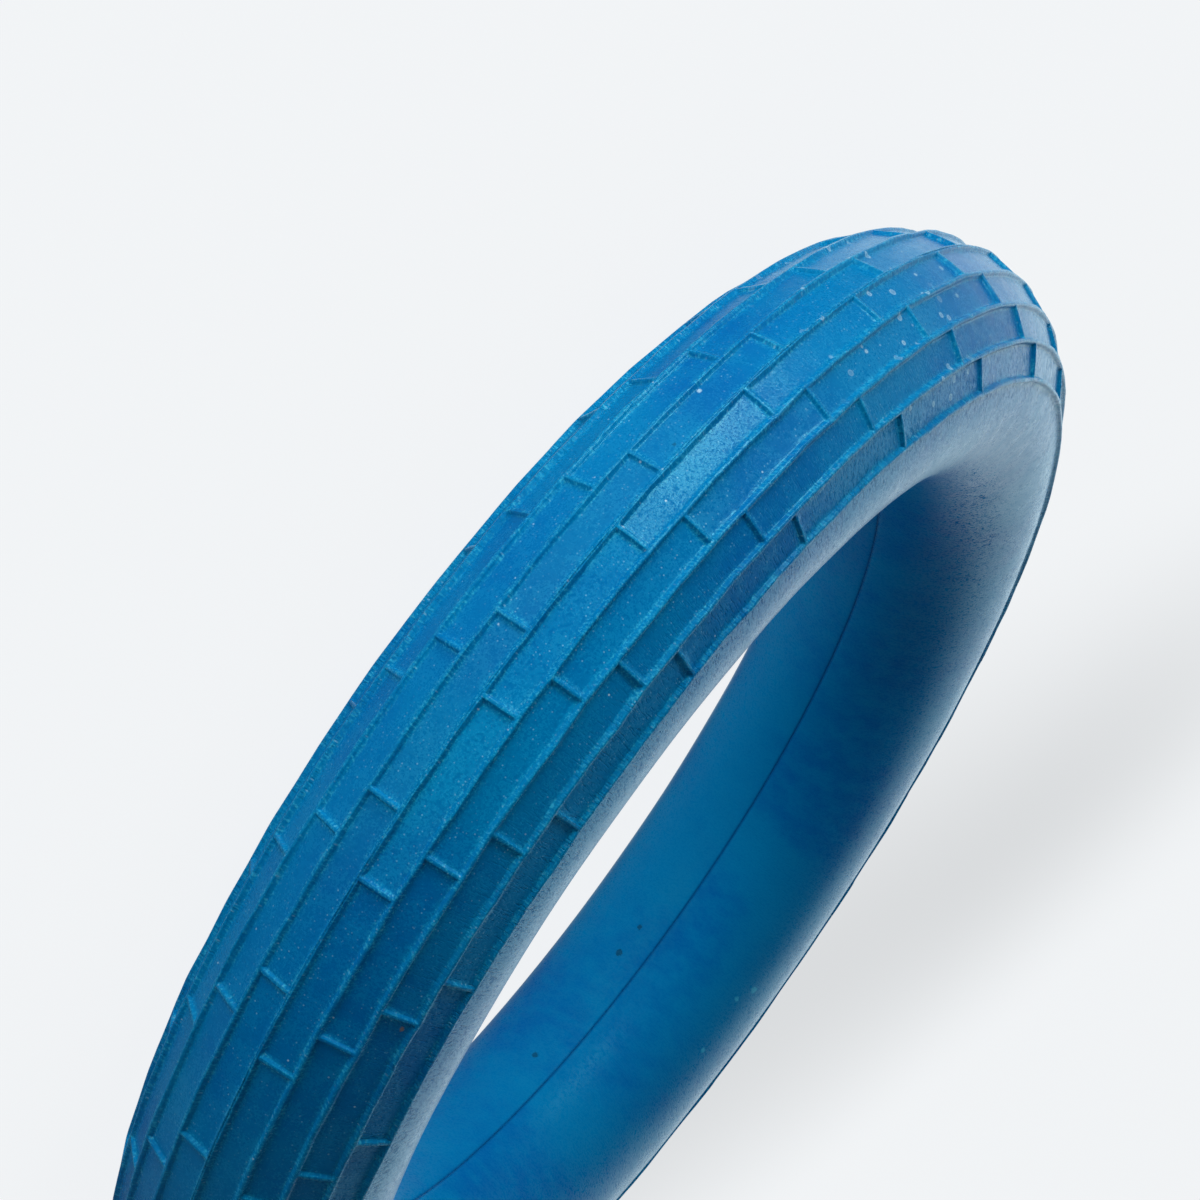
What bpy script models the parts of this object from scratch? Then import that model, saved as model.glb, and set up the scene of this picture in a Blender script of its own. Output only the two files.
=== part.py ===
"""Ringette ring: a hollow rubber ring with a brick tread round its outer side.

Two identical half mouldings, each a half tube bent into a ring, meet on the mid-plane with the
second one turned upside down. Two thin rings of cured cement, one in the outer wall and one in
the inner wall, join them and seal the air inside.

Frame: metres, +Z up. The ring lies flat, its axis on Z and its centre at the origin.
Angles round the tube are counted from the outer equator up and over to the inner equator.
"""
import math

import bmesh
import bpy
from mathutils import Matrix

MM = 0.001

# Driving dimensions
OUTER_DIAMETER = 165.0 * MM      # over the tread
TUBE_DIAMETER = 28.1 * MM        # smooth side to smooth side
WALL = 6.0 * MM
RIB_HEIGHT = 0.5 * MM
RIB_WIDTH = 0.8 * MM             # at the foot
RIB_TOP_WIDTH = 0.5 * MM
BAR_WIDTH = 0.7 * MM             # the short bars between two ribs
BAR_HEIGHT = 0.42 * MM
BAR_SINK = 0.3 * MM              # how deep a bar's foot sits in the wall
REST_LAND_WIDTH = 2.4 * MM       # flat band on top and underneath
CEMENT_THICKNESS = 0.4 * MM
CEMENT_GAP = 0.25 * MM           # clearance between the cement and each half
CEMENT_SETBACK = 0.6 * MM        # how far the cement stays inside the wall's two skins

# Tread layout
RIB_SPACING = math.radians(17.25)
ROWS_PER_HALF = 4
BRICKS_PER_ROW = 24
BRICK_PITCH = 2 * math.pi / BRICKS_PER_ROW
ROW_STEP = BRICK_PITCH / 4       # each row is a quarter brick on from the one above it
FIRST_BAR = math.radians(2.7)   # a bar beside the equator, counted from the +X axis

# Resolution
SEGMENTS = 80
SIDE_STEPS = 5
INNER_STEPS = 9
CAVITY_STEPS = 10
MERGE = 0.00001

TUBE_RADIUS = TUBE_DIAMETER / 2
RING_RADIUS = OUTER_DIAMETER / 2 - RIB_HEIGHT - TUBE_RADIUS
CAVITY_RADIUS = TUBE_RADIUS - WALL
FACE_Z = CEMENT_THICKNESS / 2 + CEMENT_GAP


def clear_scene():
    for old in list(bpy.data.objects):
        bpy.data.objects.remove(old, do_unlink=True)


def rubber_material(name, colour, roughness):
    material = bpy.data.materials.new(name)
    material.use_nodes = True
    shader = material.node_tree.nodes["Principled BSDF"]
    shader.inputs["Base Color"].default_value = (*colour, 1.0)
    shader.inputs["Roughness"].default_value = roughness
    shader.inputs["Metallic"].default_value = 0.0
    return material


def on_tube(angle, radius):
    """A section point at this angle round the tube, as (distance from the axis, height)."""
    return (RING_RADIUS + radius * math.cos(angle), radius * math.sin(angle))


def at_height(height, radius, inward=False):
    """A section point at this height on a tube of this radius, on the outer or inner side."""
    reach = math.sqrt(radius ** 2 - height ** 2)
    return (RING_RADIUS - reach if inward else RING_RADIUS + reach, height)


def spread(start, end, steps):
    return [start + (end - start) * i / steps for i in range(steps + 1)]


def inner_side():
    """The smooth skin from the inner equator up to the flat land on top."""
    land_edge = math.acos(-REST_LAND_WIDTH / 2 / TUBE_RADIUS)
    start = math.pi - math.asin(FACE_Z / TUBE_RADIUS)
    angles = spread(start, land_edge, INNER_STEPS)
    return [at_height(FACE_Z, TUBE_RADIUS, inward=True)] + [on_tube(a, TUBE_RADIUS) for a in angles[1:-1]]


def rest_land():
    """The flat band on top, which the ring rests on when it lies on its other side."""
    half = REST_LAND_WIDTH / 2
    return [(RING_RADIUS - half, TUBE_RADIUS), (RING_RADIUS + half, TUBE_RADIUS)]


def outer_side():
    """The smooth skin from the land down to the first rib of the tread."""
    land_edge = math.acos(REST_LAND_WIDTH / 2 / TUBE_RADIUS)
    tread_edge = RIB_SPACING * ROWS_PER_HALF + RIB_WIDTH / 2 / TUBE_RADIUS
    angles = spread(land_edge, tread_edge, SIDE_STEPS)
    return [on_tube(a, TUBE_RADIUS) for a in angles[1:-1]]


def tread_side():
    """The ribs that run round the ring, from the topmost one down to the mid-plane."""
    foot = RIB_WIDTH / 2 / TUBE_RADIUS
    top = RIB_TOP_WIDTH / 2 / TUBE_RADIUS
    crest = TUBE_RADIUS + RIB_HEIGHT
    points = []
    for row in range(ROWS_PER_HALF):
        middle = RIB_SPACING * (ROWS_PER_HALF - row)
        points.append(on_tube(middle + foot, TUBE_RADIUS))
        points.append(on_tube(middle + top, crest))
        points.append(on_tube(middle - top, crest))
        points.append(on_tube(middle - foot, TUBE_RADIUS))
    points.append(on_tube((FACE_Z + RIB_WIDTH / 2) / TUBE_RADIUS, TUBE_RADIUS))
    points.append(on_tube((FACE_Z + RIB_TOP_WIDTH / 2) / TUBE_RADIUS, crest))
    points.append(at_height(FACE_Z, crest))
    return points


def cavity_side():
    """The air chamber's wall, from the outer side over the top to the inner side."""
    start = math.asin(FACE_Z / CAVITY_RADIUS)
    angles = spread(start, math.pi - start, CAVITY_STEPS)
    return [on_tube(a, CAVITY_RADIUS) for a in angles]


def add_object(name, mesh, material):
    part = bpy.data.objects.new(name, mesh)
    bpy.context.collection.objects.link(part)
    mesh.materials.append(material)
    return part


def turned(name, section, material):
    """A closed section, listed from top to bottom down its outer side, turned round Z."""
    mesh = bpy.data.meshes.new(name)
    corners = [(x, 0.0, z) for x, z in section]
    edges = [(i, (i + 1) % len(corners)) for i in range(len(corners))]
    mesh.from_pydata(corners, edges, [])
    part = add_object(name, mesh, material)
    screw = part.modifiers.new("turn", "SCREW")
    screw.axis = "Z"
    screw.angle = 2 * math.pi
    screw.steps = SEGMENTS
    screw.render_steps = SEGMENTS
    screw.use_merge_vertices = True
    screw.merge_threshold = MERGE
    screw.use_smooth_shade = True
    return part


def tread_bars(material):
    """All the short bars of one half, each spanning from one rib to the next."""
    bm = bmesh.new()
    chord = math.cos(RIB_SPACING / 2)
    top = (TUBE_RADIUS + BAR_HEIGHT) * chord
    foot = TUBE_RADIUS * chord - BAR_SINK
    length = 2 * TUBE_RADIUS * math.sin(RIB_SPACING / 2)
    for row in range(ROWS_PER_HALF):
        tilt = RIB_SPACING * (ROWS_PER_HALF - row - 0.5)
        steps_up = ROWS_PER_HALF - 1 - row
        for brick in range(BRICKS_PER_ROW):
            turn = FIRST_BAR - ROW_STEP * steps_up + BRICK_PITCH * brick
            place = Matrix.Rotation(turn, 4, "Z") @ Matrix.Translation((RING_RADIUS, 0, 0))
            place = place @ Matrix.Rotation(-tilt, 4, "Y") @ Matrix.Translation(((top + foot) / 2, 0, 0))
            size = Matrix.Diagonal((top - foot, BAR_WIDTH, length, 1.0))
            bmesh.ops.create_cube(bm, size=1.0, matrix=place @ size)
    mesh = bpy.data.meshes.new("tread_bars")
    bm.to_mesh(mesh)
    bm.free()
    bars = add_object("tread_bars_guide", mesh, material)
    bars.hide_render = True
    bars.display_type = "WIRE"
    return bars


def half_shell(name, bars, material):
    """One moulding: half a tube bent into a ring, open towards the mid-plane, with its tread."""
    section = inner_side() + rest_land() + outer_side() + tread_side() + cavity_side()
    part = turned(name, section, material)
    bars.parent = part
    join = part.modifiers.new("bars", "BOOLEAN")
    join.operation = "UNION"
    join.solver = "EXACT"
    join.object = bars
    return part


def cement_ring(name, inner_radius, outer_radius, material):
    """A thin flat ring of cured cement, lying on the mid-plane inside one wall."""
    half = CEMENT_THICKNESS / 2
    section = [(outer_radius, half), (outer_radius, -half), (inner_radius, -half), (inner_radius, half)]
    return turned(name, section, material)


def build():
    clear_scene()
    blue = rubber_material("blue_rubber", (0.006, 0.150, 0.410), 0.45)
    cement = rubber_material("cured_cement", (0.020, 0.060, 0.110), 0.60)

    half_shell("upper_half_shell", tread_bars(blue), blue)
    lower = half_shell("lower_half_shell", tread_bars(blue), blue)
    lower.rotation_euler = (math.pi, 0.0, 0.0)

    outer_wall = (RING_RADIUS + CAVITY_RADIUS, RING_RADIUS + TUBE_RADIUS)
    inner_wall = (RING_RADIUS - TUBE_RADIUS, RING_RADIUS - CAVITY_RADIUS)
    cement_ring("outer_cement_ring", outer_wall[0] + CEMENT_SETBACK, outer_wall[1] - CEMENT_SETBACK, cement)
    cement_ring("inner_cement_ring", inner_wall[0] + CEMENT_SETBACK, inner_wall[1] - CEMENT_SETBACK, cement)


build()
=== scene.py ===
"""Looks of the ringette ring: two half mouldings of blue rubber, a pale floor and soft light."""
import math

import bpy
import numpy as np
from mathutils import Matrix, Vector


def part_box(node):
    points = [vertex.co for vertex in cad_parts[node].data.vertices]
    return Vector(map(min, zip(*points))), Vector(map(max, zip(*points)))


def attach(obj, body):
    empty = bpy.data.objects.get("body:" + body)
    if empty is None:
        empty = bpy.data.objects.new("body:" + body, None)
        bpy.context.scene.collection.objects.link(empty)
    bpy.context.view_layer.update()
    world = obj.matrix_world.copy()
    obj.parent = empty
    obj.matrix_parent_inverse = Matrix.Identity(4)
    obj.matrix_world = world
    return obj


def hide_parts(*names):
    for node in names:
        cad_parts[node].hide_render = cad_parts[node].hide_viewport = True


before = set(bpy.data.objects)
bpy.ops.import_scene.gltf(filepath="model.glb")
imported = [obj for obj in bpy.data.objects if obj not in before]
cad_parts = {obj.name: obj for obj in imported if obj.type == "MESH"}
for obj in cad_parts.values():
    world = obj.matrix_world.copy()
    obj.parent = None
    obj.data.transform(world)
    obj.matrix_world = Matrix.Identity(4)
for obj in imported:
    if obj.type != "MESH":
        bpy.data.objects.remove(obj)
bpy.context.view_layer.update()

MM = 0.001

# The ring's own sizes, which are the CAD model's
CAD_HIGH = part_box("upper_half_shell")[1]
RIB_HEIGHT = 0.5 * MM
TUBE_RADIUS = CAD_HIGH.z
TUBE_RADIUS_MM = TUBE_RADIUS / MM
OUTER_RADIUS = CAD_HIGH.x
RING_RADIUS = OUTER_RADIUS - RIB_HEIGHT - TUBE_RADIUS
WALL = 6.0 * MM
CAVITY_RADIUS = TUBE_RADIUS - WALL
FLOOR_Z = -TUBE_RADIUS

# Tread layout, as in the CAD model
RIB_SPACING = math.radians(17.25)
ROWS = 4
BRICKS_PER_ROW = 24
BRICK_PITCH = 2 * math.pi / BRICKS_PER_ROW
STEPS_PER_BRICK = 4
ROW_STEP = BRICK_PITCH / STEPS_PER_BRICK
FIRST_BAR = math.radians(2.7)

# Section of a rib or a bar: distances from its middle in millimetres, then heights
CREST_HALF = 0.20
FOOT_HALF = 0.42
RIM_END = 0.80                   # the rubber is worn paler from the foot out to here
FILLET_REACH = 0.35
FILLET_HEIGHT = 0.05 * MM
BAR_HEIGHT = 0.44 * MM
BAR_BLEND = 0.06 * MM            # fillet where a bar runs into a rib
LANE_FLATNESS = 0.72             # 1 makes each lane a flat band between two ribs
BRICK_DISH = 0.07 * MM

# Unevenness of the moulding: size, least and most waves round the ring, number of waves
WOBBLE = (0.045, (3, 70), 12)            # of a rib's line, in millimetres
BAR_WOBBLE_SHARE = 0.5
UNEVEN = (0.07, (5, 60), 12)             # of a rib's height, as a share
SWAY = (0.02 * MM, (2, 24), 10)          # of the smooth sides
UPPER_SEED = 11
LOWER_SEED = 23

# The parting line on the inner side: a shallow groove
SEAM_DEPTH = 0.08 * MM
SEAM_WIDTH = 0.65                # in millimetres

# Grid lines, in millimetres from the middle of a rib or a bar
RIB_LINES = (0.0, 0.17, 0.23, 0.38, 0.45, 0.62, 0.95)
BAR_LINES = (0.0, 0.17, 0.23, 0.38, 0.46, 0.95)
SEAM_LINES = (0.5, 0.2, 0.02)    # as shares of the seam's width
SIDE_LINES = 17
CAVITY_LINES = 12
COARSENING = 4                   # one skin line in four goes on round the chamber

# Bond faces
LIP = 0.6 * MM                   # the rubber skins meet over this depth, outside the cement
LIP_GAP = 0.003 * MM
CEMENT_ROOM = 0.3 * MM


# ---------------------------------------------------------------- mesh helpers

def smoothstep(low, high, x):
    t = np.clip((x - low) / (high - low), 0.0, 1.0)
    return t * t * (3.0 - 2.0 * t)


def soft_max(a, b, blend):
    """The larger of two heights, with a small fillet where they are close."""
    t = np.clip(0.5 + 0.5 * (a - b) / blend, 0.0, 1.0)
    return b + (a - b) * t + blend * t * (1.0 - t)


def waves(rng, unevenness, u, v):
    """A smooth field of about the size given, made of waves that close up round the ring."""
    size, turns, count = unevenness
    total = np.zeros(np.broadcast(u, v).shape)
    for _ in range(count):
        round_ring = rng.integers(turns[0], turns[1] + 1)
        round_tube = rng.uniform(-turns[1], turns[1]) * TUBE_RADIUS / RING_RADIUS
        total += np.sin(round_ring * u + round_tube * v + rng.uniform(0, 2 * math.pi))
    return size * (total / math.sqrt(count / 2.0))


def around_lines():
    """Angles round the ring, close together where a bar can be."""
    offsets = sorted(set(BAR_LINES) | {-x for x in BAR_LINES})
    lines = []
    for step in range(BRICKS_PER_ROW * STEPS_PER_BRICK):
        middle = FIRST_BAR + step * ROW_STEP
        lines += [middle + x * MM / OUTER_RADIUS for x in offsets]
    return np.array(lines)


def section_lines():
    """Angles round the tube of one half, from the outer equator over the top to the inner one."""
    lines = set()
    for rib in range(ROWS + 1):
        for x in RIB_LINES:
            lines.add(round(rib * RIB_SPACING + x / TUBE_RADIUS_MM, 6))
            if rib:
                lines.add(round(rib * RIB_SPACING - x / TUBE_RADIUS_MM, 6))
        if rib < ROWS:
            lines.add((rib + 0.5) * RIB_SPACING)
    start = max(lines)
    end = math.pi - SEAM_WIDTH / TUBE_RADIUS_MM
    for i in range(1, SIDE_LINES + 1):
        lines.add(start + (end - start) * i / SIDE_LINES)
    for share in SEAM_LINES:
        lines.add(math.pi - share * SEAM_WIDTH / TUBE_RADIUS_MM)
    return np.array(sorted(lines))


def bump_profile(offset_mm):
    """Height share of a rib or bar at this distance from its middle."""
    return 1.0 - np.clip((np.abs(offset_mm) - CREST_HALF) / (FOOT_HALF - CREST_HALF), 0.0, 1.0)


def surface(u, v, seed):
    """Height above the plain tube, how far up a rib or bar each point is, and how near to one."""
    rng = np.random.default_rng(seed)
    wobble = waves(rng, WOBBLE, u, v)
    uneven = 1.0 + waves(rng, UNEVEN, u, v)
    in_tread = v < ROWS * RIB_SPACING

    rib_index = np.clip(np.round(v / RIB_SPACING), 0, ROWS)
    rib_offset = (v - rib_index * RIB_SPACING) * TUBE_RADIUS_MM + wobble
    rib = bump_profile(rib_offset) * uneven

    row = np.clip(np.floor(v / RIB_SPACING), 0, ROWS - 1)
    phase = (u - FIRST_BAR + ROW_STEP * row) / BRICK_PITCH
    along = phase - np.round(phase)
    bar_offset = along * BRICK_PITCH * (OUTER_RADIUS / MM) + BAR_WOBBLE_SHARE * wobble
    bar = np.where(in_tread, bump_profile(bar_offset), 0.0)

    crest = np.maximum(rib, bar)
    height = soft_max(rib * RIB_HEIGHT, bar * BAR_HEIGHT * uneven, BAR_BLEND)
    height = np.where(crest > 0, height, 0.0)

    lane_middle = (row + 0.5) * RIB_SPACING
    chord = np.cos(RIB_SPACING / 2) / np.cos(v - lane_middle) - 1.0
    flat = np.where(in_tread, chord * TUBE_RADIUS * LANE_FLATNESS, 0.0)
    dish = -BRICK_DISH * (1.0 - 4.0 * (0.5 - np.abs(along)) ** 2)
    dish = np.where(in_tread, dish, 0.0) * (1.0 - rib) * (1.0 - bar)

    away = np.abs(rib_offset)
    away = np.where(in_tread, np.minimum(away, np.abs(bar_offset)), away)
    fillet = FILLET_HEIGHT * np.exp(-np.maximum(away - FOOT_HALF, 0.0) / FILLET_REACH)
    fillet = np.where(crest > 0, 0.0, fillet)
    rim = 1.0 - smoothstep(FOOT_HALF, RIM_END, away)

    sway = waves(rng, SWAY, u, v) * np.sin(v) ** 2
    seam = -SEAM_DEPTH * (1.0 - smoothstep(0.0, SEAM_WIDTH, (math.pi - v) * TUBE_RADIUS_MM))
    return height + flat + dish + fillet + sway + seam, crest, rim


def skin_points(u, v, radius):
    """Points on a tube of this radius as rows of x, y, z."""
    reach = RING_RADIUS + radius * np.cos(v)
    parts = np.broadcast_arrays(reach * np.cos(u), reach * np.sin(u), radius * np.sin(v))
    return np.stack(parts, axis=-1).reshape(-1, 3)


def circle(angles, reach, height):
    """Points of a circle round the ring's axis."""
    heights = np.full(len(angles), height)
    return np.stack([reach * np.cos(angles), reach * np.sin(angles), heights], axis=1)


def hidden_section():
    """Reach and height of the bond faces and the chamber, from the inner lip round to the outer."""
    inner_lip = RING_RADIUS - TUBE_RADIUS + LIP
    outer_lip = RING_RADIUS + TUBE_RADIUS - LIP
    start = math.asin(CEMENT_ROOM / CAVITY_RADIUS)
    section = [(inner_lip, LIP_GAP), (inner_lip, CEMENT_ROOM)]
    for a in np.linspace(math.pi - start, start, CAVITY_LINES):
        section.append((RING_RADIUS + CAVITY_RADIUS * math.cos(a), CAVITY_RADIUS * math.sin(a)))
    section += [(outer_lip, CEMENT_ROOM), (outer_lip, LIP_GAP)]
    return section


def strips(start, rows, count):
    """Quads between closed rows of vertices that follow one another."""
    here = np.arange(count)
    there = (here + 1) % count
    quads = []
    for row in range(rows - 1):
        first = start + row * count
        second = first + count
        quads.append(np.stack([first + here, first + there, second + there, second + here], axis=1))
    return np.concatenate(quads).tolist()


def half_moulding(name, seed):
    """One half of the ring: its skin with the tread, the two bond faces and the chamber's wall."""
    around = around_lines()
    across = section_lines()
    u, v = np.meshgrid(around, across)
    height, crest, rim = surface(u, v, seed)
    skin = skin_points(u, v, TUBE_RADIUS + height)
    skin[:, 2] = np.maximum(skin[:, 2], LIP_GAP)
    coarse = around[::COARSENING]
    section = hidden_section()
    points = np.concatenate([skin] + [circle(coarse, reach, z) for reach, z in section])

    count, coarse_count = len(around), len(coarse)
    faces = strips(0, len(across), count) + strips(len(skin), len(section), coarse_count)
    last_skin = (len(across) - 1) * count
    last_hidden = len(skin) + (len(section) - 1) * coarse_count
    for near in range(coarse_count):
        far = (near + 1) % coarse_count
        fine = [(COARSENING * near + j) % count for j in range(COARSENING + 1)]
        faces.append([len(skin) + far, len(skin) + near] + [last_skin + j for j in fine])
        faces.append([last_hidden + near, last_hidden + far] + fine[::-1])

    mesh = bpy.data.meshes.new(name)
    mesh.from_pydata(points.tolist(), [], faces)
    mesh.update()
    mesh.shade_smooth()
    for label, field in (("crest", crest), ("rim", rim)):
        values = np.zeros(len(points), np.float32)
        values[:len(skin)] = field.reshape(-1)
        mesh.attributes.new(label, "FLOAT", "POINT").data.foreach_set("value", values)
    half = bpy.data.objects.new(name, mesh)
    bpy.context.scene.collection.objects.link(half)
    return half


# ---------------------------------------------------------------- node helper

class Nodes:
    """A short way to write a node tree: most calls add one node and return its main output."""

    def __init__(self, tree):
        self.tree = tree
        tree.nodes.clear()

    def add(self, kind, out=0, values=None, **settings):
        node = self.tree.nodes.new(kind)
        for key, value in settings.items():
            setattr(node, key, value)
        for key, value in (values or {}).items():
            if isinstance(value, bpy.types.NodeSocket):
                self.tree.links.new(value, node.inputs[key])
            else:
                node.inputs[key].default_value = value
        return node.outputs[out]

    def show(self, shader, kind="ShaderNodeOutputMaterial"):
        """Make this shader the one that the tree shows."""
        self.tree.links.new(shader, self.tree.nodes.new(kind).inputs["Surface"])

    def math(self, operation, a, b=0.0, c=0.0):
        return self.add("ShaderNodeMath", operation=operation, values={0: a, 1: b, 2: c})

    def times(self, first, *factors):
        for factor in factors:
            first = self.math("MULTIPLY", first, factor)
        return first

    def vector(self, operation, a, b, out=0):
        return self.add("ShaderNodeVectorMath", out=out, operation=operation, values={0: a, 1: b})

    def split(self, vector):
        """The x, y and z of a vector."""
        node = self.tree.nodes.new("ShaderNodeSeparateXYZ")
        self.tree.links.new(vector, node.inputs[0])
        return node.outputs

    def mix(self, share, a, b):
        """A colour between two colours."""
        return self.add("ShaderNodeMix", out=2, data_type="RGBA", values={0: share, 6: a, 7: b})

    def ramp(self, value, low, high, to_low=0.0, to_high=1.0):
        return self.add("ShaderNodeMapRange", interpolation_type="SMOOTHSTEP",
                        values={0: value, 1: low, 2: high, 3: to_low, 4: to_high})

    def noise(self, at, size, detail=2.0, roughness=0.5):
        values = {"Vector": at, "Scale": 1.0 / size, "Detail": detail, "Roughness": roughness}
        return self.add("ShaderNodeTexNoise", values=values)

    def cells(self, at, size):
        """Distance to the nearest of many scattered points, as a share of the size, and its tone."""
        node = self.tree.nodes.new("ShaderNodeTexVoronoi")
        node.inputs["Scale"].default_value = 1.0 / size
        self.tree.links.new(at, node.inputs["Vector"])
        tone = self.add("ShaderNodeSeparateColor", values={0: node.outputs["Color"]})
        return node.outputs["Distance"], tone

    def specks(self, at, size, inner, outer, rarity):
        """Round specks that fade out from one radius to the other."""
        distance, tone = self.cells(at, size)
        return self.times(self.ramp(distance, inner, outer, 1.0, 0.0), self.ramp(tone, rarity, 1.0))

    def rings(self, at, size, radius, width, fill):
        """Thin rings, each with a fainter fill; some are missing."""
        distance, tone = self.cells(at, size)
        off_ring = self.math("ABSOLUTE", self.math("SUBTRACT", distance, radius))
        rim = self.ramp(off_ring, 0.0, width, 1.0, 0.0)
        inside = self.ramp(distance, radius, radius + width, fill, 0.0)
        return self.times(self.math("MAXIMUM", rim, inside), self.ramp(tone, 0.1, 0.3))


# ---------------------------------------------------------------- materials

BLUE_DEEP = (0.0, 0.113, 0.343, 1)
BLUE_GREENISH = (0.0, 0.164, 0.382, 1)
BLUE_LIGHT = (0.0, 0.178, 0.398, 1)
BLUE_WORN = (0.0, 0.215, 0.405, 1)
# The next blue is painted shade, used in the pits and along the seam
BLUE_SHADE = (0.0, 0.076, 0.240, 1)
SCUFF = (0.03, 0.35, 0.54, 1)
DUST = (0.16, 0.40, 0.56, 1)
CRUMB = (0.36, 0.55, 0.66, 1)
BROWN = (0.30, 0.17, 0.09, 1)
DARK = (0.004, 0.05, 0.11, 1)

# Distances round the tube from the outer equator
STROKES_FROM = math.radians(30) * TUBE_RADIUS        # strokes grow from here to the tread's edge
TREAD_EDGE = math.radians(72) * TUBE_RADIUS
STROKES_END = math.radians(84) * TUBE_RADIUS         # and have faded by half here
INNER_SIDE = math.radians(105) * TUBE_RADIUS         # dust and wear have faded out here
SMOOTH_FROM = math.radians(140) * TUBE_RADIUS        # relief and gloss are at their least
# The seam's painted shade comes up between these two distances
SEAM_FADE = (math.pi * TUBE_RADIUS - 0.35 * MM, math.pi * TUBE_RADIUS - 0.10 * MM)

# Noise textures: size, detail, roughness
CLOUDS = (22 * MM, 3.0)
MOTTLE = (2.6 * MM, 3.0)
FINE = (0.47 * MM, 2.0, 0.6)
GRAIN = (0.26 * MM, 2.0, 0.7)
STROKE = (0.20 * MM, 1.5, 0.5)
STROKE_STRETCH = (1.0, 1.0, 0.22)                    # strokes are long round the tube

# Noise values between which each feature goes from none to full
CLOUD_LEVELS = (0.35, 0.65)
LIGHT_LEVELS = (0.3, 0.75)
WORN_LEVELS = (0.3, 0.7)
SCUFF_LEVELS = (0.52, 0.66)
DUST_LEVELS = (0.35, 0.65)
STROKE_LEVELS = (0.46, 0.30)
GRAIN_PIT_LEVELS = (0.48, 0.34)
FINE_PIT_LEVELS = (0.45, 0.36)
ROUGH_LEVELS = (0.3, 0.7)

# The least or the most of a feature, where that isn't none or full
WORN_LEAST = 0.35
DUST_LEAST = 0.25
STROKES_LEAST = 0.06                                 # round the outer equator
STROKES_LEFT = 0.5                                   # past the tread's edge
FINE_PIT_MOST = 0.9

# Scattered specks: spacing, radii of the full part and of the whole as shares of it, rarity
PIT_SPECKS = (0.66 * MM, 0.14, 0.28, 0.20)
DUST_SPECKS = (0.42 * MM, 0.12, 0.30, 0.45)
CRUMB_SPECKS = (1.9 * MM, 0.03, 0.08, 0.5)

# How far each feature changes the colour beneath it
LIGHT_SHARE = 0.5
WORN_SHARE = 0.34
SCUFF_SHARE = 0.9
PIT_SHADE_SHARE = 0.30
SEAM_SHADE_SHARE = 0.75
DUST_SHARE = 0.7
CRUMB_SHARE = 0.9
DROP_SHARE = 0.65
MARK_SHARE = 0.75

# Dried drops: spacing, radius and width of the ring as shares of it, strength of the fill
DROPS = (2.5 * MM, 0.14, 0.045, 0.45)
DROPS_MIDDLE = (-0.0594, -0.0554, 0.0048)
DROPS_REACH = (0.011, 0.021)                         # they thin out between these distances

# Small marks: degrees round the ring and round the tube, radius, tone
MARKS = (
    ((-64.0, 47.2), 0.34 * MM, BROWN),
    ((-107.6, -10.4), 0.26 * MM, CRUMB),
    ((-115.4, -14.0), 0.30 * MM, CRUMB),
    ((-102.5, 2.6), 0.22 * MM, CRUMB),
    ((-110.2, -5.0), 0.30 * MM, DARK),
    ((-91.9, -13.0), 0.16 * MM, CRUMB),
    ((84.5, 194.8), 0.55 * MM, DARK),
    ((89.1, 194.1), 0.40 * MM, DARK),
    ((65.2, 194.7), 0.50 * MM, DARK),
    ((89.4, 123.5), 0.45 * MM, SCUFF),
    ((91.7, 116.4), 0.60 * MM, SCUFF),
    ((81.7, 120.9), 0.40 * MM, SCUFF),
)
MARK_EDGE = (0.6, 1.1)                               # a mark fades out between these shares
MARK_RAGGEDNESS = 1.3

# Relief and gloss
FINE_RELIEF = 1.1
GRAIN_RELIEF = 0.5
STROKE_RELIEF = 2.6
BUMP_STRENGTH = (0.70, 0.2)                          # on the tread, on the smooth side
BUMP_HEIGHT = 0.035 * MM
ROUGHNESS = (0.22, 0.32)
SMOOTH_SIDE_ROUGHNESS = 0.08                         # added there
RUBBER_IOR = 1.5
SPECULAR = (0.5, 0.25)                               # on the tread, on the smooth side
SPECULAR_TINT = (0.16, 0.88, 1.0, 1.0)
PIT_DULLING = 0.45
FLANK_DULLING = 1.7

CEMENT_DARK = (0.015, 0.05, 0.09, 1)
CEMENT_PALE = (0.03, 0.08, 0.13, 1)
CEMENT_TEXTURE = (3 * MM, 3.0)
CEMENT_LEVELS = (0.3, 0.7)
CEMENT_ROUGHNESS = 0.6


def on_tube(around, across):
    """The point of the plain tube at these angles, in degrees."""
    u, v = math.radians(around), math.radians(across)
    reach = RING_RADIUS + TUBE_RADIUS * math.cos(v)
    return (reach * math.cos(u), reach * math.sin(u), TUBE_RADIUS * math.sin(v))


def new_material(name):
    material = bpy.data.materials.new(name)
    material.use_nodes = True
    return material, Nodes(material.node_tree)


def unrolled(n, position):
    """The surface unrolled to a straight tube: x and y go round the ring, z round the tube."""
    x, y, z = n.split(position)
    reach = n.math("SQRT", n.math("ADD", n.times(x, x), n.times(y, y)))
    round_tube = n.math("ARCTAN2", z, n.math("SUBTRACT", reach, RING_RADIUS))
    scale = n.math("DIVIDE", OUTER_RADIUS, reach)
    values = {0: n.times(x, scale), 1: n.times(y, scale), 2: n.times(round_tube, TUBE_RADIUS)}
    return n.add("ShaderNodeCombineXYZ", values=values)


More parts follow.
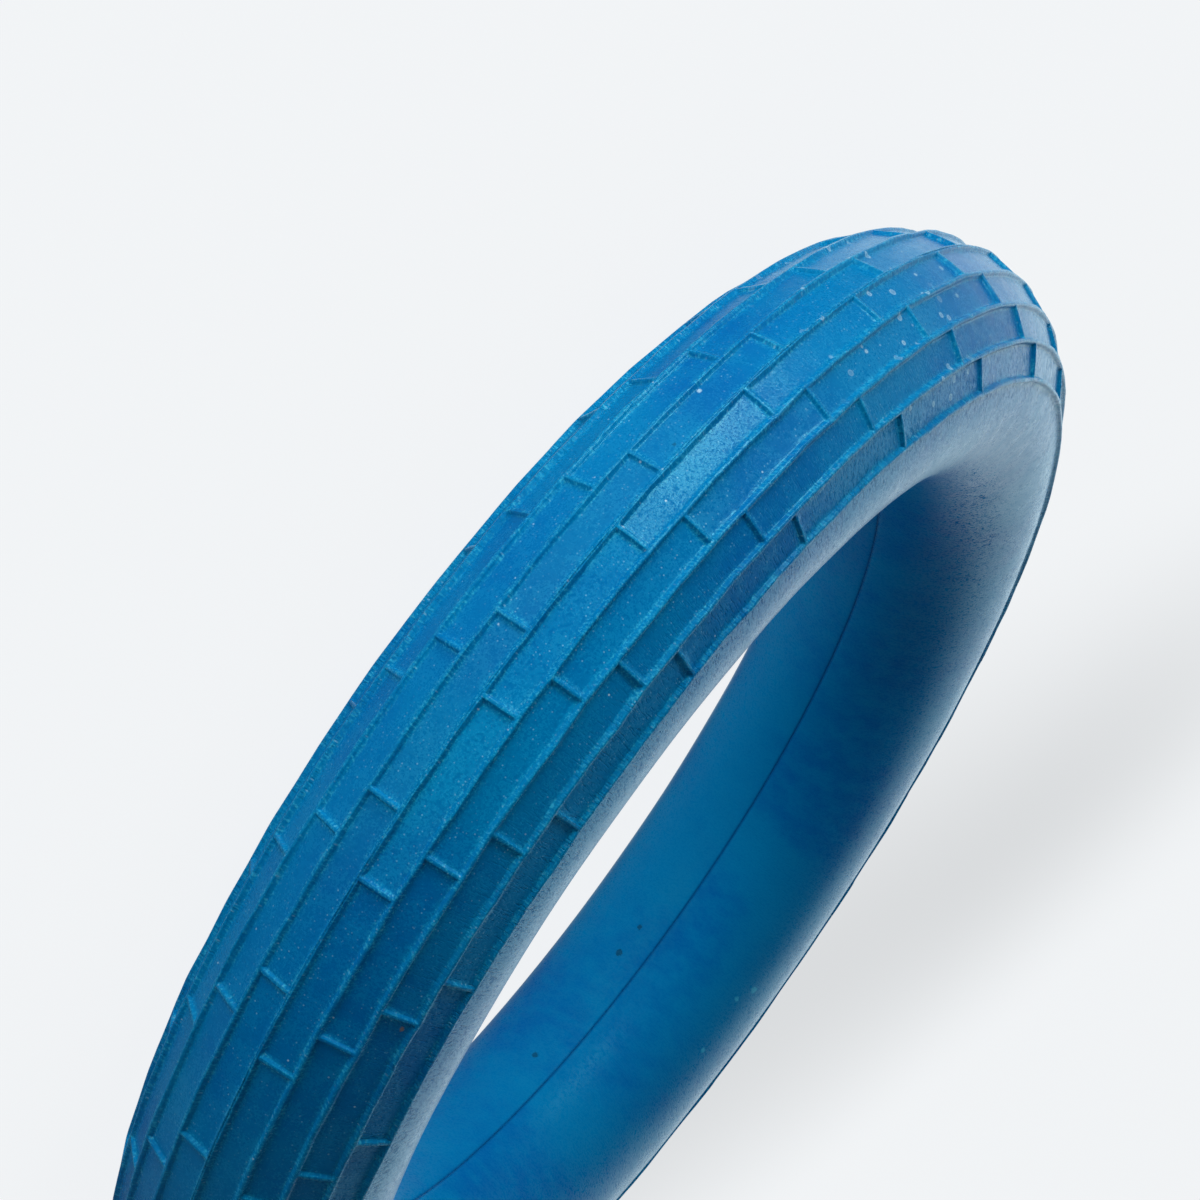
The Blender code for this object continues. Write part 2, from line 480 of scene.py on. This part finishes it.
def with_marks(n, blue, position, at, outside, mottle, fine):
    """Dust, crumbs, dried drops and single marks on top of the blue."""
    dust = n.times(n.specks(at, *DUST_SPECKS), n.ramp(mottle, *DUST_LEVELS, DUST_LEAST, 1.0))
    colour = n.mix(n.times(dust, outside, DUST_SHARE), blue, DUST)
    crumbs = n.specks(at, *CRUMB_SPECKS)
    colour = n.mix(n.times(crumbs, outside, CRUMB_SHARE), colour, CRUMB)

    off_middle = n.vector("DISTANCE", position, DROPS_MIDDLE, out="Value")
    drops = n.times(n.rings(at, *DROPS), n.ramp(off_middle, *DROPS_REACH, 1.0, 0.0))
    colour = n.mix(n.times(drops, DROP_SHARE), colour, CRUMB)

    unevenness = n.math("SUBTRACT", fine, 0.5)
    for middle, size, tone in MARKS:
        away = n.vector("DISTANCE", position, on_tube(*middle), out="Value")
        away = n.math("ADD", away, n.times(unevenness, MARK_RAGGEDNESS * size))
        inner, outer = MARK_EDGE
        colour = n.mix(n.ramp(away, inner * size, outer * size, MARK_SHARE, 0.0), colour, tone)
    return colour


def blue_rubber():
    """Matt blue rubber: rough and dusty on the tread, smooth inside, worn pale beside the ribs."""
    material, n = new_material("blue_rubber")
    position = n.add("ShaderNodeTexCoord", out="Object")
    at = unrolled(n, position)
    crest = n.add("ShaderNodeAttribute", out="Fac", attribute_name="crest")
    rim = n.add("ShaderNodeAttribute", out="Fac", attribute_name="rim")
    off_equator = n.math("ABSOLUTE", n.split(at)["Z"])
    outside = n.ramp(off_equator, TREAD_EDGE, INNER_SIDE, 1.0, 0.0)

    clouds = n.noise(at, *CLOUDS)
    mottle = n.noise(at, *MOTTLE)
    fine = n.noise(at, *FINE)
    grain = n.noise(at, *GRAIN)
    stroke = n.noise(n.vector("MULTIPLY", at, STROKE_STRETCH), *STROKE)
    on_tread = n.ramp(off_equator, STROKES_FROM, TREAD_EDGE, STROKES_LEAST, 1.0)
    beyond = n.ramp(off_equator, TREAD_EDGE, STROKES_END, 1.0, STROKES_LEFT)
    strokes = n.times(n.ramp(stroke, *STROKE_LEVELS), n.times(on_tread, beyond))

    pits = n.math("MAXIMUM", strokes, n.ramp(grain, *GRAIN_PIT_LEVELS))
    pits = n.math("MAXIMUM", pits, n.ramp(fine, *FINE_PIT_LEVELS, 0.0, FINE_PIT_MOST))
    pits = n.math("MAXIMUM", pits, n.specks(at, *PIT_SPECKS))
    worn = n.times(n.math("MAXIMUM", rim, crest), n.ramp(mottle, *WORN_LEVELS, WORN_LEAST, 1.0))
    scuff = n.times(worn, n.ramp(grain, *SCUFF_LEVELS))

    blue = n.mix(n.ramp(clouds, *CLOUD_LEVELS), BLUE_DEEP, BLUE_GREENISH)
    blue = n.mix(n.ramp(mottle, *LIGHT_LEVELS, 0.0, LIGHT_SHARE), blue, BLUE_LIGHT)
    blue = n.mix(n.times(worn, WORN_SHARE), blue, BLUE_WORN)
    blue = n.mix(n.times(scuff, outside, SCUFF_SHARE), blue, SCUFF)
    # Painted shade darkens the pits and strokes; it also stands for the rubber's own fine dark grain
    blue = n.mix(n.times(pits, outside, PIT_SHADE_SHARE), blue, BLUE_SHADE)
    # Painted shade along the seam's groove
    blue = n.mix(n.ramp(off_equator, *SEAM_FADE, 0.0, SEAM_SHADE_SHARE), blue, BLUE_SHADE)
    colour = with_marks(n, blue, position, at, outside, mottle, fine)

    relief = n.math("ADD", n.times(fine, FINE_RELIEF), n.times(grain, GRAIN_RELIEF))
    relief = n.math("SUBTRACT", relief, n.times(strokes, STROKE_RELIEF))
    relief = n.math("ADD", relief, n.times(worn, outside, grain))
    strength = n.ramp(off_equator, TREAD_EDGE, SMOOTH_FROM, *BUMP_STRENGTH)
    bump = n.add("ShaderNodeBump",
                 values={"Strength": strength, "Distance": BUMP_HEIGHT, "Height": relief})

    texture = n.math("ADD", n.times(mottle, 0.5), n.times(grain, 0.5))
    rough = n.ramp(texture, *ROUGH_LEVELS, *ROUGHNESS)
    smooth_side = n.ramp(off_equator, TREAD_EDGE, SMOOTH_FROM, 0.0, SMOOTH_SIDE_ROUGHNESS)
    flank = n.times(crest, n.math("SUBTRACT", 1.0, crest))
    dull = n.math("MAXIMUM", n.times(pits, PIT_DULLING), n.times(flank, FLANK_DULLING))
    specular = n.ramp(off_equator, INNER_SIDE, SMOOTH_FROM, *SPECULAR)

    n.show(n.add("ShaderNodeBsdfPrincipled", values={
        "Base Color": colour,
        "Roughness": n.math("ADD", rough, smooth_side),
        "IOR": RUBBER_IOR,
        "Specular Tint": SPECULAR_TINT,
        "Specular IOR Level": n.math("SUBTRACT", specular, dull),
        "Normal": bump}))
    return material


def cured_cement():
    material, n = new_material("cured_cement")
    texture = n.noise(n.add("ShaderNodeTexCoord", out="Object"), *CEMENT_TEXTURE)
    colour = n.mix(n.ramp(texture, *CEMENT_LEVELS), CEMENT_DARK, CEMENT_PALE)
    n.show(n.add("ShaderNodeBsdfPrincipled",
                 values={"Base Color": colour, "Roughness": CEMENT_ROUGHNESS}))
    return material


# ---------------------------------------------------------------- the stage

FLOOR_COLOUR = (0.896, 0.913, 0.930, 1.0)
FLOOR_GLOW = 0.96
FLOOR_MATT = (0.05, 0.05, 0.05, 1)
FLOOR_SIZE = 30.0
FLOOR_GAP = 0.2 * MM

# A faint shadow band on the floor behind the ring: where it starts, which way it runs, how dark
# and wide it is, and the distances along it between which it comes up and fades to a share
SHADE_START = (-0.012, 0.218, 0.0)
SHADE_ALONG = (-0.483, 0.876, 0.0)
SHADE_ACROSS = (0.876, 0.483, 0.0)
SHADE_DEPTH = 0.21
SHADE_HALF_WIDTH = (0.0, 0.105)
SHADE_RISE = (-0.10, 0.0)
SHADE_FADE = (0.13, 0.50)
SHADE_END = 0.25


def pale_floor():
    """A large plain floor that glows softly, so that it stays an even tone with a faint shadow."""
    half = FLOOR_SIZE / 2
    corners = [(-half, -half, 0), (half, -half, 0), (half, half, 0), (-half, half, 0)]
    mesh = bpy.data.meshes.new("floor")
    mesh.from_pydata(corners, [], [(0, 1, 2, 3)])
    floor = bpy.data.objects.new("floor", mesh)
    floor.location.z = FLOOR_Z - FLOOR_GAP
    bpy.context.scene.collection.objects.link(floor)

    material, n = new_material("pale_floor")
    at = n.vector("SUBTRACT", n.add("ShaderNodeTexCoord", out="Object"), SHADE_START)
    along = n.vector("DOT_PRODUCT", at, SHADE_ALONG, out="Value")
    across = n.math("ABSOLUTE", n.vector("DOT_PRODUCT", at, SHADE_ACROSS, out="Value"))
    shade = n.times(n.ramp(across, *SHADE_HALF_WIDTH, SHADE_DEPTH, 0.0),
                    n.ramp(along, *SHADE_FADE, 1.0, SHADE_END),
                    n.ramp(along, *SHADE_RISE))
    glow = n.times(n.math("SUBTRACT", 1.0, shade), FLOOR_GLOW)
    light = n.add("ShaderNodeEmission", values={"Color": FLOOR_COLOUR, "Strength": glow})
    matt = n.add("ShaderNodeBsdfDiffuse", values={"Color": FLOOR_MATT})
    n.show(n.add("ShaderNodeAddShader", values={0: light, 1: matt}))
    mesh.materials.append(material)
    floor.visible_glossy = False
    floor.visible_diffuse = False
    floor.visible_shadow = False


def direction(azimuth, elevation):
    a, e = math.radians(azimuth), math.radians(elevation)
    return Vector((math.cos(a) * math.cos(e), math.sin(a) * math.cos(e), math.sin(e)))


# Broad soft light from all round: azimuth and elevation, half angle of the even part, half angle
# where it ends, strength. The wall lights shine on everything; the fill lights light surfaces and
# are mostly too dim to be seen as reflections.
WALL_LIGHTS = (
    ((100, 15), 22, 55, 0.25),
    ((100, 30), 20, 40, 0.95),
    ((122, -16), 14, 32, 0.84),
    ((150, 20), 5, 40, 0.30),
)
FILL_LIGHTS = (
    ((40, 0), 25, 60, 0.50),
    ((66, -50), 5, 45, 0.45),
    ((-170, 25), 5, 45, 0.60),
    ((-165, -30), 5, 40, 0.40),
    ((0, 90), 5, 60, 0.25),
    ((0, -90), 5, 60, 0.35),
)
FILL_IN_REFLECTIONS = 0.12
ROOM_COLOUR = (0.93, 1.12, 1.17, 1.0)

# Softboxes: azimuth and elevation, distance, width and height, power, colour, and what they are
# for. Some only light surfaces and the others are only seen as reflections.
SOFTBOXES = {
    "key": ((-142, 12), 0.50, (0.13, 0.13), 0.90, (1.0, 0.96, 0.96), "surfaces"),
    "glint": ((-140, 7), 0.50, (0.25, 0.14), 1.60, (1.0, 0.62, 0.50), "reflections"),
    "sheen": ((-92, 12), 0.45, (0.55, 0.24), 0.80, (0.1, 0.95, 1.0), "reflections"),
    "overhead": ((-125, -22), 0.45, (0.35, 0.35), 1.00, (1.0, 0.96, 1.0), "surfaces"),
    "front": ((-86, -24), 0.42, (0.40, 0.40), 0.94, (1.0, 0.97, 1.0), "surfaces"),
}


def lobes(n, look, lights):
    """The summed strength of the lights in the direction looked at."""
    total = 0.0
    for way, inner, outer, strength in lights:
        closeness = n.vector("DOT_PRODUCT", look, tuple(direction(*way)), out="Value")
        bounds = math.cos(math.radians(outer)), math.cos(math.radians(inner))
        total = n.math("ADD", n.ramp(closeness, *bounds, 0.0, strength), total)
    return total


def room_light():
    """The room as the ring sees it; the camera sees only an even pale tone."""
    world = bpy.data.worlds.new("room")
    bpy.context.scene.world = world
    world.use_nodes = True
    n = Nodes(world.node_tree)
    look = n.add("ShaderNodeTexCoord", out="Generated")
    reflected = n.add("ShaderNodeLightPath", out="Is Glossy Ray")
    dimming = n.math("MULTIPLY_ADD", reflected, FILL_IN_REFLECTIONS - 1.0, 1.0)
    fill = lobes(n, look, FILL_LIGHTS)
    total = n.math("MULTIPLY_ADD", fill, dimming, lobes(n, look, WALL_LIGHTS))
    room = n.add("ShaderNodeBackground", values={"Color": ROOM_COLOUR, "Strength": total})
    plain = n.add("ShaderNodeBackground", values={"Color": FLOOR_COLOUR, "Strength": 1.0})
    seen = n.add("ShaderNodeLightPath", out="Is Camera Ray")
    both = n.add("ShaderNodeMixShader", values={0: seen, 1: room, 2: plain})
    n.show(both, "ShaderNodeOutputWorld")


def softbox(name, way, distance, size, power, colour, purpose):
    """A rectangular light that faces the ring."""
    light = bpy.data.lights.new(name, "AREA")
    light.shape = "RECTANGLE"
    light.size, light.size_y = size
    light.energy = power
    light.color = colour
    lamp = bpy.data.objects.new(name, light)
    towards = direction(*way)
    lamp.location = towards * distance
    lamp.rotation_euler = towards.to_track_quat("Z", "Y").to_euler()
    lamp.visible_diffuse = purpose == "surfaces"
    lamp.visible_glossy = purpose == "reflections"
    bpy.context.scene.collection.objects.link(lamp)


# Where the camera stands, where it looks and how far it is rolled, in degrees
CAMERA_DISTANCE = 433.5 * MM
CAMERA_AZIMUTH = -83.92
CAMERA_ELEVATION = 13.22
LOOK_AZIMUTH = 99.24
LOOK_TILT = -15.58
CAMERA_ROLL = 124.27
SENSOR_MM = 36.0
LENS_MM = 109.90
CLIP_START = 0.01
CLIP_END = 100.0


def camera():
    data = bpy.data.cameras.new("camera")
    data.sensor_width = SENSOR_MM
    data.lens = LENS_MM
    data.clip_start = CLIP_START
    data.clip_end = CLIP_END
    eye = bpy.data.objects.new("camera", data)
    forward = direction(LOOK_AZIMUTH, LOOK_TILT)
    level = forward.cross(Vector((0, 0, 1))).normalized()
    right = Matrix.Rotation(-math.radians(CAMERA_ROLL), 3, forward) @ level
    up = right.cross(forward)
    turn = Matrix((right, up, -forward)).transposed().to_4x4()
    standpoint = direction(CAMERA_AZIMUTH, CAMERA_ELEVATION) * CAMERA_DISTANCE
    eye.matrix_world = Matrix.Translation(standpoint) @ turn
    bpy.context.scene.collection.objects.link(eye)
    bpy.context.scene.camera = eye


# ---------------------------------------------------------------- build

rubber = blue_rubber()
upper = half_moulding("upper_half", UPPER_SEED)
lower = half_moulding("lower_half", LOWER_SEED)
lower.data.transform(Matrix.Rotation(math.pi, 4, "X"))
for half, node in ((upper, "upper_half_shell"), (lower, "lower_half_shell")):
    half.data.materials.append(rubber)
    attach(half, "root")
    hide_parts(node)

cement = cured_cement()
for node in ("outer_cement_ring", "inner_cement_ring"):
    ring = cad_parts[node]
    ring.data.materials.clear()
    ring.data.materials.append(cement)

pale_floor()
room_light()
for name, settings in SOFTBOXES.items():
    softbox(name, *settings)
camera()
bpy.context.scene.view_settings.view_transform = "Standard"
